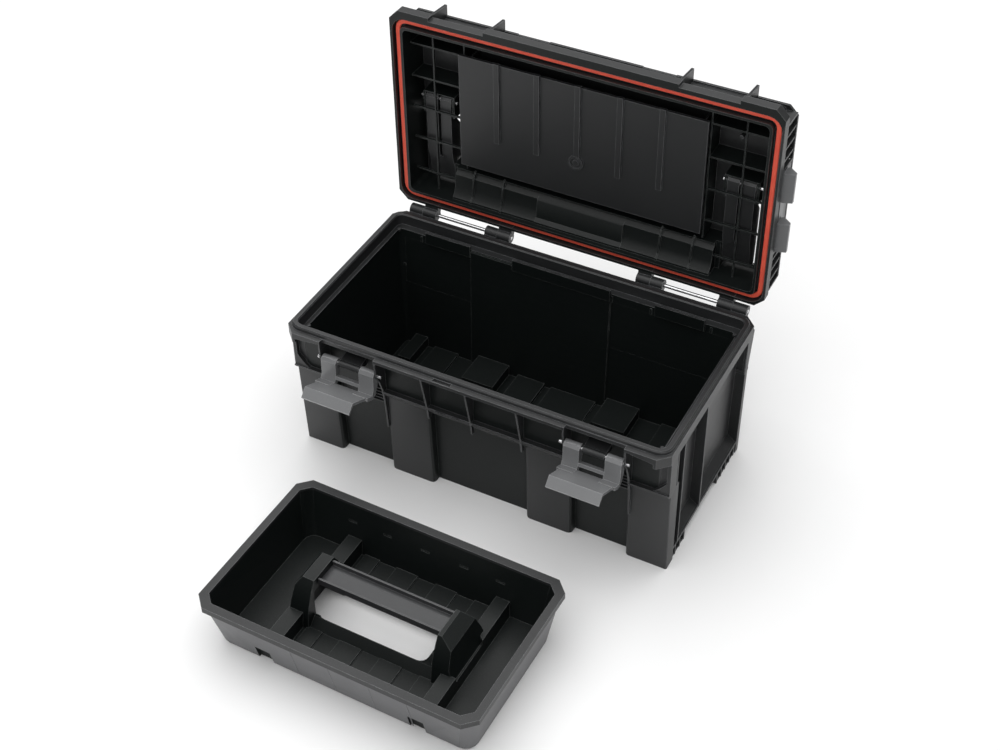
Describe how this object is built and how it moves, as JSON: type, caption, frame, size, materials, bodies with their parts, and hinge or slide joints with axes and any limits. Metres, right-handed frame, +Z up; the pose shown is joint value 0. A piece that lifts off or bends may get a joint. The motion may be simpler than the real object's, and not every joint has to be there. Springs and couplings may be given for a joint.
{
  "type": "toolbox with tray",
  "caption": "Wide plastic toolbox with a hinged sealed lid, front lever latches, a folding carrying handle, side stacking clips and a separate lift-out tray.",
  "frame": {"origin": "on the floor, under the middle of the base's flange", "axes": "+Z up, +X along the width to the viewer's right, -Y towards the front, where the latches are"},
  "size_m": [0.476, 0.5932, 0.4375],
  "materials": {
    "black_plastic": "satin, fine moulded texture",
    "grey_plastic": "satin",
    "coral_rubber": "matt",
    "bright_steel": "bright"
  },
  "bodies": {
    "base": {"base_shell": "black_plastic", "hinge_rod_left": "bright_steel", "hinge_rod_right": "bright_steel", "latch_pin_left": "bright_steel", "latch_pin_right": "bright_steel"},
    "lid": {"lid_shell": "black_plastic", "lid_inner_panel": "black_plastic", "lid_gasket": "coral_rubber", "handle_pin_left": "bright_steel", "handle_pin_right": "bright_steel", "clip_pin_left": "bright_steel", "clip_pin_right": "bright_steel"},
    "latch_left": {"latch_lever_left": "grey_plastic"},
    "latch_right": {"latch_lever_right": "grey_plastic"},
    "carry_handle": {"handle_arm_left": "black_plastic", "handle_arm_right": "black_plastic", "handle_grip": "black_plastic"},
    "clip_left": {"stack_clip_left": "grey_plastic"},
    "clip_right": {"stack_clip_right": "grey_plastic"},
    "tray_body": {"tray": "black_plastic", "tray_handle": "grey_plastic"}
  },
  "joints": [
    {"name": "lid_hinge", "type": "hinge", "parent": "base", "child": "lid", "pos_m": [0, 0.1327, 0.179], "axis": [1, 0, 0], "range_deg": [0, 90]},
    {"name": "latch_left_pivot", "type": "hinge", "parent": "base", "child": "latch_left", "pos_m": [-0.1445, -0.118, 0.155], "axis": [-1, 0, 0], "range_deg": [0, 88]},
    {"name": "latch_right_pivot", "type": "hinge", "parent": "base", "child": "latch_right", "pos_m": [0.1445, -0.118, 0.155], "axis": [-1, 0, 0], "range_deg": [0, 88]},
    {"name": "carry_handle_pivot", "type": "hinge", "parent": "lid", "child": "carry_handle", "pos_m": [0, 0.1592, 0.322], "axis": [1, 0, 0], "range_deg": [0, 95]},
    {"name": "clip_left_pivot", "type": "hinge", "parent": "lid", "child": "clip_left", "pos_m": [-0.2225, 0.1702, 0.306], "axis": [0, 0, -1], "range_deg": [0, 60]},
    {"name": "clip_right_pivot", "type": "hinge", "parent": "lid", "child": "clip_right", "pos_m": [0.2225, 0.1702, 0.306], "axis": [0, 0, 1], "range_deg": [0, 60]},
    {"name": "tray_lift", "type": "slide", "parent": "base", "child": "tray_body", "axis": [0, 0, 1], "range_m": [0, 0.12]}
  ]
}
